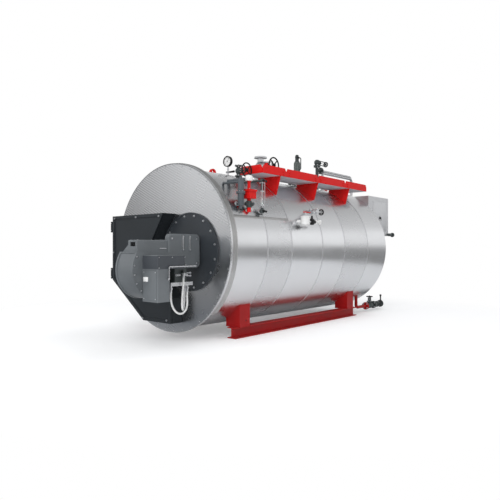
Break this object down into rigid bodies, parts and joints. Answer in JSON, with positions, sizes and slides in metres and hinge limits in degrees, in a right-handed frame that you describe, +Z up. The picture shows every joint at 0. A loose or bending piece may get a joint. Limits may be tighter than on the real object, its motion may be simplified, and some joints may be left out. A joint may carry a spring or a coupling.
{
  "type": "industrial steam boiler",
  "caption": "Horizontal fire-tube steam boiler with oil burner, hinged smoke chamber door, shoulder walkway, valves, gauges, rear economiser and flue spigot on base beams.",
  "frame": {"origin": "middle of the floor footprint, on the floor under the base beams", "axes": "+Z up, +Y from the burner end to the flue end, +X to the walkway side"},
  "size_m": [2.246, 6.0109, 2.726],
  "materials": {
    "casing_aluminium": "bright satin sheet",
    "front_sheet": "embossed sheet",
    "anthracite": "satin paint",
    "plate_steel": "dark satin paint",
    "burner_grey": "hammered grey paint",
    "burner_dark": "matt",
    "red_paint": "gloss paint",
    "base_red": "gloss paint",
    "valve_iron": "painted casting",
    "wheel_black": "enamel",
    "bright_steel": "bright",
    "floor_grating": "galvanised",
    "brass": "worn",
    "glass": "clear",
    "hose_braid": "braided",
    "tube_plate_steel": "sooted",
    "gauge_white": "enamel",
    "bottle_grey": "satin paint"
  },
  "bodies": {
    "boiler": {"shell_casing": "casing_aluminium", "front_end_plate": "front_sheet", "front_hood_rim": "casing_aluminium", "rear_end_plate": "casing_aluminium", "tube_plate": "tube_plate_steel", "smoke_box_housing": "anthracite", "smoke_box_hinges": "anthracite", "burner_mounting_plate": "plate_steel", "burner_head_housing": "burner_grey", "burner_fan_scroll": "burner_grey", "burner_air_intake": "burner_grey", "burner_control_cabinet": "burner_grey", "burner_switch_housing": "burner_dark", "burner_motor": "burner_grey", "oil_pump_block": "valve_iron", "oil_pipes": "bright_steel", "oil_manifold": "valve_iron", "oil_hose_supply": "hose_braid", "oil_hose_return": "hose_braid", "walkway_floor": "floor_grating", "walkway_kerb": "red_paint", "walkway_brackets": "red_paint", "base_beam_right": "base_red", "base_beam_left": "base_red", "boiler_feet": "base_red", "steam_valve_body": "bright_steel", "vent_valve_body": "valve_iron", "safety_valve": "valve_iron", "feed_valve_body": "valve_iron", "feed_pipes": "bright_steel", "gauge_pipe": "bright_steel", "pressure_gauge": "gauge_white", "lifting_lugs": "red_paint", "level_bottle": "bottle_grey", "level_controller": "red_paint", "level_gauge_cocks": "valve_iron", "level_gauge_glass": "glass", "sample_cooler": "gauge_white", "salinity_valve_body": "valve_iron", "economiser_casing": "casing_aluminium", "flue_outlet": "bright_steel", "economiser_drain": "valve_iron", "rear_inspection_cover": "anthracite", "blowdown_pipe": "base_red", "blowdown_shutoff_valve": "valve_iron", "blowdown_quick_valve": "valve_iron"},
    "smoke_box_door": {"smoke_box_door": "anthracite"},
    "steam_valve_wheel": {"steam_valve_handwheel": "wheel_black"},
    "vent_valve_wheel": {"vent_valve_handwheel": "wheel_black"},
    "feed_valve_wheel": {"feed_valve_handwheel": "wheel_black"},
    "salinity_valve_wheel": {"salinity_valve_handwheel": "wheel_black"},
    "blowdown_wheel": {"blowdown_handwheel": "wheel_black"},
    "quick_valve_lever": {"blowdown_lever": "wheel_black"}
  },
  "joints": [
    {"name": "door_hinge", "type": "hinge", "parent": "boiler", "child": "smoke_box_door", "pos_m": [-1.016, -2.175, 1.14], "axis": [0, 0, -1], "range_deg": [0, 105]},
    {"name": "steam_wheel_turn", "type": "hinge", "parent": "boiler", "child": "steam_valve_wheel", "pos_m": [0.221, -0.1545, 2.398], "axis": [1, 0, 0], "continuous": true},
    {"name": "vent_wheel_turn", "type": "hinge", "parent": "boiler", "child": "vent_valve_wheel", "pos_m": [0.588, -1.2075, 2.16326], "axis": [1, 0, 0], "continuous": true},
    {"name": "feed_wheel_turn", "type": "hinge", "parent": "boiler", "child": "feed_valve_wheel", "pos_m": [-0.041, 1.7285, 2.676], "axis": [0, 1, 0], "continuous": true},
    {"name": "salinity_wheel_turn", "type": "hinge", "parent": "boiler", "child": "salinity_valve_wheel", "pos_m": [1.001, -0.0595, 1.652], "axis": [0, 1, 0], "continuous": true},
    {"name": "blowdown_wheel_turn", "type": "hinge", "parent": "boiler", "child": "blowdown_wheel", "pos_m": [0.559, 2.2675, 0.26], "axis": [0, 0, 1], "continuous": true},
    {"name": "quick_lever_swing", "type": "hinge", "parent": "boiler", "child": "quick_valve_lever", "pos_m": [0.6355, 2.5575, 0.102], "axis": [-1, 0, 0], "range_deg": [0, 60]}
  ]
}
